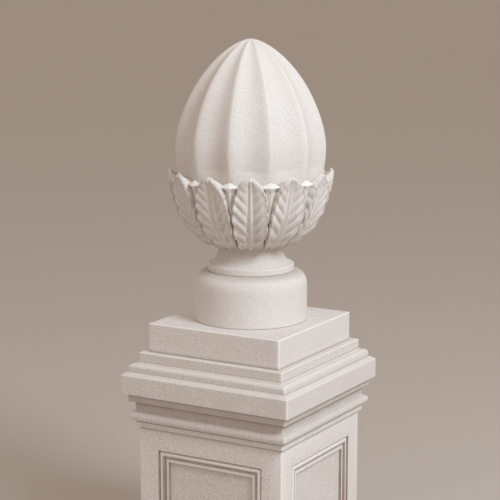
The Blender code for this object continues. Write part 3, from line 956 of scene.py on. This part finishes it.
def fluted_bud(material):
    bud = new_mesh_object("fluted_bud", bpy.data.meshes.new("bud"))
    modifier = bud.modifiers.new("Bud", "NODES")
    modifier.node_group = bud_tree()
    set_inputs(modifier, {
        "Ridge Radius": BUD_RADIUS,
        "Foot Radius": CUP_RADIUS,
        "Rise": BUD_RISE,
        "Drop": BUD_DROP,
        "Waist Height": FINIAL_BASE + CUP_EDGE + BUD_DROP,
        "Height Power": BUD_HEIGHT_POWER,
        "Radius Power": BUD_RADIUS_POWER,
        "Flutes": LEAF_COUNT,
        "Flute Depth": FLUTE_DEPTH,
        "Ridge Softness": RIDGE_SOFTNESS,
        "Columns": 20,
        "Rows": 120,
        "Material": material,
    })
    bake_modifiers(bud)
    face_outwards(bud.data)
    shade(bud.data, BUD_SHARP_ANGLE)
    return bud


def noise(tree, place, scale, detail, roughness=0.5):
    """Noise whose scale is a number or another node's output."""
    node = tree.nodes.new("ShaderNodeTexNoise")
    tree.links.new(place, node.inputs["Vector"])
    if isinstance(scale, (int, float)):
        node.inputs["Scale"].default_value = scale
    else:
        tree.links.new(scale, node.inputs["Scale"])
    node.inputs["Detail"].default_value = detail
    node.inputs["Roughness"].default_value = roughness
    return node.outputs["Fac"]


def stretched(tree, value, low, high, to_low=0.0, to_high=1.0):
    """A value moved from the range low to high to another range, and held inside it."""
    node = tree.nodes.new("ShaderNodeMapRange")
    node.inputs["From Min"].default_value = low
    node.inputs["From Max"].default_value = high
    node.inputs["To Min"].default_value = to_low
    node.inputs["To Max"].default_value = to_high
    tree.links.new(value, node.inputs["Value"])
    return node.outputs["Result"]


def blended(tree, share, first, second):
    """One colour turned into another by a share. Each may be a value or another node's output."""
    node = tree.nodes.new("ShaderNodeMix")
    node.data_type = "RGBA"
    ends = [s for s in node.inputs if s.type == "RGBA"]
    factor = [s for s in node.inputs if s.name == "Factor" and s.type == "VALUE"][0]
    for socket, value in ((factor, share), (ends[0], first), (ends[1], second)):
        if isinstance(value, bpy.types.NodeSocket):
            tree.links.new(value, socket)
        else:
            socket.default_value = value
    return [s for s in node.outputs if s.type == "RGBA"][0]


def grain_group():
    """Sand grain of cast stone: fine speckle, soft mottling, small dark pits and their relief."""
    group = node_tree(
        "stone grain",
        [("Place", PLACE, None), ("Grain Size", NUMBER, 0.0022), ("Mottle Size", NUMBER, 0.05)],
        [("Speckle", NUMBER), ("Mottle", NUMBER), ("Pits", NUMBER), ("Height", NUMBER)],
    )
    given = group.nodes.new("NodeGroupInput").outputs
    made = group.nodes.new("NodeGroupOutput").inputs
    sums = Sums(group)
    fine_scale = sums("DIVIDE", 1.0, given["Grain Size"])
    speckle = noise(group, given["Place"], fine_scale, 2.0, 0.6)
    mottle = noise(group, given["Place"], sums("DIVIDE", 1.0, given["Mottle Size"]), 4.0, 0.55)
    pit_field = noise(group, given["Place"], sums("MULTIPLY", fine_scale, 0.8), 1.0)
    pits = stretched(group, pit_field, *PIT_RANGE)
    height = sums("SUBTRACT", speckle, sums("MULTIPLY", pits, 0.6))
    group.links.new(speckle, made["Speckle"])
    group.links.new(mottle, made["Mottle"])
    group.links.new(pits, made["Pits"])
    group.links.new(height, made["Height"])
    return group


def wear_highlight_and_shade_group():
    """Paler arrises, for wear and painted highlight, and painted shade in the crevices, from the mesh's own
    marks.
    """
    group = node_tree(
        "arris and crevice",
        [
            ("Colour", COLOUR, None),
            ("Arris Colour", COLOUR, None),
            ("Crevice Colour", COLOUR, None),
            ("Arris Share", NUMBER, 0.6),
            ("Crevice Share", NUMBER, 0.6),
            ("Breakup", NUMBER, 0.5),
        ],
        [("Colour", COLOUR)],
    )
    given = group.nodes.new("NodeGroupInput").outputs
    made = group.nodes.new("NodeGroupOutput").inputs
    sums = Sums(group)
    marks = {}
    for name in ("crest", "crevice"):
        node = group.nodes.new("ShaderNodeAttribute")
        node.attribute_name = name
        marks[name] = node.outputs["Fac"]
    uneven = sums("MULTIPLY_ADD", given["Breakup"], 0.8, 0.6)
    crest = sums("MULTIPLY", sums("MULTIPLY", marks["crest"], given["Arris Share"]), uneven)
    crevice = sums("MULTIPLY", sums("MULTIPLY", marks["crevice"], given["Crevice Share"]), uneven)
    paler = blended(group, crest, given["Colour"], given["Arris Colour"])
    darker = blended(group, crevice, paler, given["Crevice Colour"])
    group.links.new(darker, made["Colour"])
    return group


def tinted(tone, tint):
    return (*(a * b for a, b in zip(tone, tint)), 1.0)


def stone(name, colour, groups, wear_and_highlight, painted_shade, sand, overhangs=(), shift=0.0):
    """Pale cast stone with a sandy face, matt all over, and painted shade in the shelter of each overhang.

    Overhangs are (level, reach below it, strength). A shift moves the grain, so that two stones differ.
    """
    material = bpy.data.materials.new(name)
    material.use_nodes = True
    tree = material.node_tree
    shader = tree.nodes["Principled BSDF"]
    shader.inputs["Metallic"].default_value = 0.0
    shader.inputs["Specular IOR Level"].default_value = STONE_SPECULAR
    place = tree.nodes.new("ShaderNodeTexCoord").outputs["Object"]
    moved = tree.nodes.new("ShaderNodeMapping")
    moved.inputs["Location"].default_value = (shift, shift * 0.7, 0)
    tree.links.new(place, moved.inputs["Vector"])
    grain = tree.nodes.new("ShaderNodeGroup")
    grain.node_tree = groups["grain"]
    grain.inputs["Grain Size"].default_value = GRAIN_SIZE
    tree.links.new(moved.outputs[0], grain.inputs["Place"])
    tone = Vector(colour)
    light = (*(tone * (1 + GRAIN_LIGHTER * sand)), 1.0)
    dark = (*(tone * (1 - GRAIN_DARKER * sand)), 1.0)
    sums = Sums(tree)
    speckle = stretched(tree, grain.outputs["Speckle"], *GRAIN_RANGE)
    body = blended(tree, speckle, dark, light)
    patches = stretched(tree, grain.outputs["Mottle"], *PATCH_RANGE, 0.0, PATCH_SHARE)
    body = blended(tree, patches, body, tinted(tone, WARM_TINT))
    specks = sums("MULTIPLY", grain.outputs["Pits"], PIT_SHARE)
    body = blended(tree, specks, body, tinted(tone, PIT_TINT))
    wear_highlight_and_shade = tree.nodes.new("ShaderNodeGroup")
    wear_highlight_and_shade.node_tree = groups["wear_highlight_and_shade"]
    tree.links.new(body, wear_highlight_and_shade.inputs["Colour"])
    tree.links.new(grain.outputs["Mottle"], wear_highlight_and_shade.inputs["Breakup"])
    wear_highlight_and_shade.inputs["Arris Colour"].default_value = ARRIS_WEAR_AND_HIGHLIGHT_COLOUR
    wear_highlight_and_shade.inputs["Crevice Colour"].default_value = PAINTED_SHADE_COLOUR
    wear_highlight_and_shade.inputs["Arris Share"].default_value = wear_and_highlight
    wear_highlight_and_shade.inputs["Crevice Share"].default_value = painted_shade
    face = wear_highlight_and_shade.outputs["Colour"]
    apart = tree.nodes.new("ShaderNodeSeparateXYZ")
    tree.links.new(place, apart.inputs["Vector"])
    # Painted shade: the crevice colour blended in over a band below each overhang
    for level, reach, strength in overhangs:
        nearness = stretched(tree, apart.outputs["Z"], level - reach, level, 0.0, strength)
        below = sums("LESS_THAN", apart.outputs["Z"], level + OVERHANG_MARGIN)
        face = blended(tree, sums("MULTIPLY", nearness, below), face, PAINTED_SHADE_COLOUR)
    tree.links.new(face, shader.inputs["Base Color"])
    roughness = stretched(tree, grain.outputs["Speckle"], 0.3, 0.7, *STONE_ROUGHNESS)
    tree.links.new(roughness, shader.inputs["Roughness"])
    bump = tree.nodes.new("ShaderNodeBump")
    bump.inputs["Strength"].default_value = RELIEF_STRENGTH
    bump.inputs["Distance"].default_value = RELIEF_HEIGHT
    tree.links.new(grain.outputs["Height"], bump.inputs["Height"])
    tree.links.new(bump.outputs["Normal"], shader.inputs["Normal"])
    return material


def dress(thing, node, material):
    """Gives a finished piece its stone and its place in the model."""
    thing.data.materials.clear()
    thing.data.materials.append(material)
    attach(thing, "root")
    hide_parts(node)


def plain_floor():
    material = bpy.data.materials.new("plain floor")
    material.use_nodes = True
    shader = material.node_tree.nodes["Principled BSDF"]
    shader.inputs["Base Color"].default_value = FLOOR_COLOUR
    shader.inputs["Roughness"].default_value = 0.95
    shader.inputs["Specular IOR Level"].default_value = 0.1
    mesh = bpy.data.meshes.new("floor")
    ring = round_ring(FLOOR_RADIUS, 0.0, 96)
    mesh.from_pydata(ring, [], [tuple(range(len(ring)))])
    floor = new_mesh_object("plain_floor", mesh)
    mesh.materials.append(material)


def studio():
    """A soft key from the right and above, an even fill, and the camera of the photo."""
    sine, cosine = math.sin(CAMERA_TURN), math.cos(CAMERA_TURN)
    flat = math.cos(CAMERA_LIFT)
    back = Vector((sine * flat, -cosine * flat, math.sin(CAMERA_LIFT)))
    right = Vector((cosine, sine, 0))
    up = back.cross(right)
    data = bpy.data.cameras.new("camera")
    data.lens = CAMERA_LENS
    data.sensor_width = CAMERA_SENSOR
    camera = bpy.data.objects.new("camera", data)
    bpy.context.scene.collection.objects.link(camera)
    target = Vector((0, 0, LOOK_HEIGHT))
    place = target - right * CAMERA_LEFT + back * CAMERA_DISTANCE
    camera.matrix_world = Matrix.Translation(place) @ Matrix((right, up, back)).transposed().to_4x4()
    bpy.context.scene.camera = camera

    level = Vector((back.x, back.y, 0)).normalized()
    key_data = bpy.data.lights.new("key", "AREA")
    key_data.shape = "DISK"
    key_data.size = KEY_SIZE
    key_data.energy = KEY_ENERGY
    key_data.color = KEY_COLOUR
    key = bpy.data.objects.new("key", key_data)
    bpy.context.scene.collection.objects.link(key)
    towards = (right * KEY_RIGHT + level * KEY_FORWARD + Vector((0, 0, KEY_UP))).normalized()
    key.location = target + towards * KEY_DISTANCE
    key.rotation_euler = towards.to_track_quat("Z", "Y").to_euler()

    world = bpy.data.worlds.new("studio")
    world.use_nodes = True
    fill = world.node_tree.nodes["Background"]
    fill.inputs["Color"].default_value = FILL_COLOUR
    fill.inputs["Strength"].default_value = FILL_STRENGTH
    bpy.context.scene.world = world
    bpy.context.scene.view_settings.view_transform = "Standard"


def main():
    groups = {"grain": grain_group(), "wear_highlight_and_shade": wear_highlight_and_shade_group()}
    # In each stone, the arris share makes arrises paler, for wear and painted highlight. The crevice share
    # darkens crevices and sheltered levels with painted shade, and each overhang adds a band of painted
    # shade below it.
    finial_stone = stone(
        "finial stone",
        (0.795, 0.752, 0.722),
        groups,
        wear_and_highlight=0.9,
        painted_shade=0.44,
        sand=0.18,
        overhangs=[(FINIAL_BASE + SHOULDER_TOP, 0.0100, 0.4)],
    )
    plinth_stone = stone(
        "plinth stone", (0.79, 0.745, 0.715), groups, wear_and_highlight=0.9, painted_shade=0.6, sand=0.24, shift=0.3
    )
    cap_stone = stone(
        "cap stone",
        (0.785, 0.74, 0.71),
        groups,
        wear_and_highlight=0.9,
        painted_shade=0.8,
        sand=0.24,
        overhangs=[
            (CAP_BASE + TOP_FILLET_TOP, 0.0065, 0.9),
            (CAP_BASE + FRIEZE_TOP, 0.0075, 0.8),
            (CAP_BASE + OGEE_TOP, 0.0030, 0.6),
            (CAP_BASE + SPLAY_TOP, 0.0025, 0.5),
        ],
        shift=0.6,
    )
    post_stone = stone(
        "post stone",
        (0.81, 0.76, 0.73),
        groups,
        wear_and_highlight=0.9,
        painted_shade=0.9,
        sand=0.34,
        overhangs=[(POST_HEIGHT, 0.0065, 0.8)],
        shift=0.9,
    )
    dress(post_head(), "post", post_stone)
    dress(moulded_cap(), "cap", cap_stone)
    dress(plinth_block(), "plinth", plinth_stone)
    dress(turned_foot(), "finial", finial_stone)
    dress(leaf_cup(finial_stone), "finial", finial_stone)
    dress(fluted_bud(finial_stone), "finial", finial_stone)
    plain_floor()
    studio()


main()
